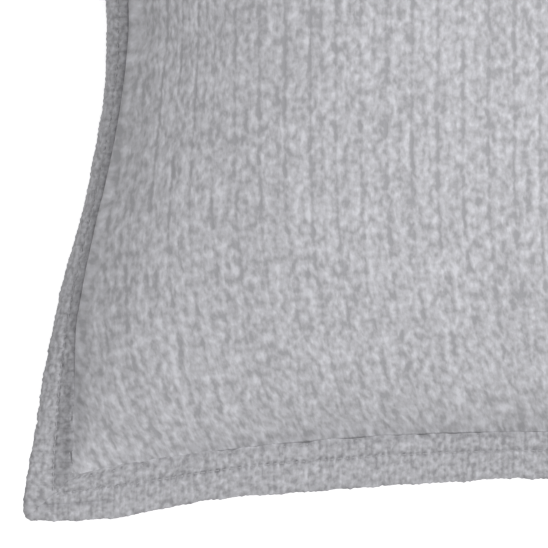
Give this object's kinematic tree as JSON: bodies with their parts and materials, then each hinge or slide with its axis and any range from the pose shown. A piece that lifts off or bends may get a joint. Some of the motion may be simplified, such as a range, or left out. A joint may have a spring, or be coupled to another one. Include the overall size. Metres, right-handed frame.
{
  "type": "throw pillow",
  "caption": "Square stuffed throw pillow with a folded flange border, a knitted cover that opens with an invisible zip on the back, and a fibre-filled insert.",
  "frame": {"origin": "under the pillow's centre, on the surface that its back lies on", "axes": "+Z out of the front face, +Y towards the top edge, +X to the right as the front is seen; the zip is on the back, near the -Y edge"},
  "size_m": [0.508, 0.509, 0.15],
  "materials": {
    "knit": "heather grey brushed knit, vertical wales",
    "knit_flange": "the same knit folded double, ribs across the border",
    "thread": "matt sewing thread",
    "zip_tape": "woven tape",
    "zip_coil": "satin nylon",
    "zip_metal": "satin grey lacquer",
    "insert_cloth": "matt cotton",
    "insert_thread": "matt thread",
    "fibre_fill": "loose polyester fibre",
    "label": "smooth woven tape, blank"
  },
  "bodies": {
    "cover": {"front_panel": "knit", "back_panel_upper": "knit", "back_panel_lower": "knit", "flange_top": "knit_flange", "flange_bottom": "knit_flange", "flange_left": "knit_flange", "flange_right": "knit_flange", "flange_topstitch_front": "thread", "flange_topstitch_back": "thread", "body_seam_thread": "thread", "zip_tape_upper": "zip_tape", "zip_tape_lower": "zip_tape", "zip_coil_upper": "zip_coil", "zip_coil_lower": "zip_coil", "zip_top_stop_upper": "zip_coil", "zip_top_stop_lower": "zip_coil", "zip_bottom_stop": "zip_coil", "zip_stitch_upper": "thread", "zip_stitch_lower": "thread", "bar_tack_left": "thread", "bar_tack_right": "thread", "insert_front_shell": "insert_cloth", "insert_back_shell": "insert_cloth", "insert_seam_thread": "insert_thread", "insert_fill": "fibre_fill", "care_label": "label", "insert_label": "label"},
    "slider": {"zip_slider": "zip_metal"},
    "pull": {"zip_pull_tab": "zip_metal"}
  },
  "joints": [
    {"name": "zip_slide", "type": "slide", "parent": "cover", "child": "slider", "axis": [-1, 0, 0], "range_m": [0, 0.296]},
    {"name": "pull_hinge", "type": "hinge", "parent": "slider", "child": "pull", "pos_m": [0.148, -0.16625, 0.01683], "axis": [0, 0.866, -0.5], "range_deg": [-80, 80]}
  ]
}
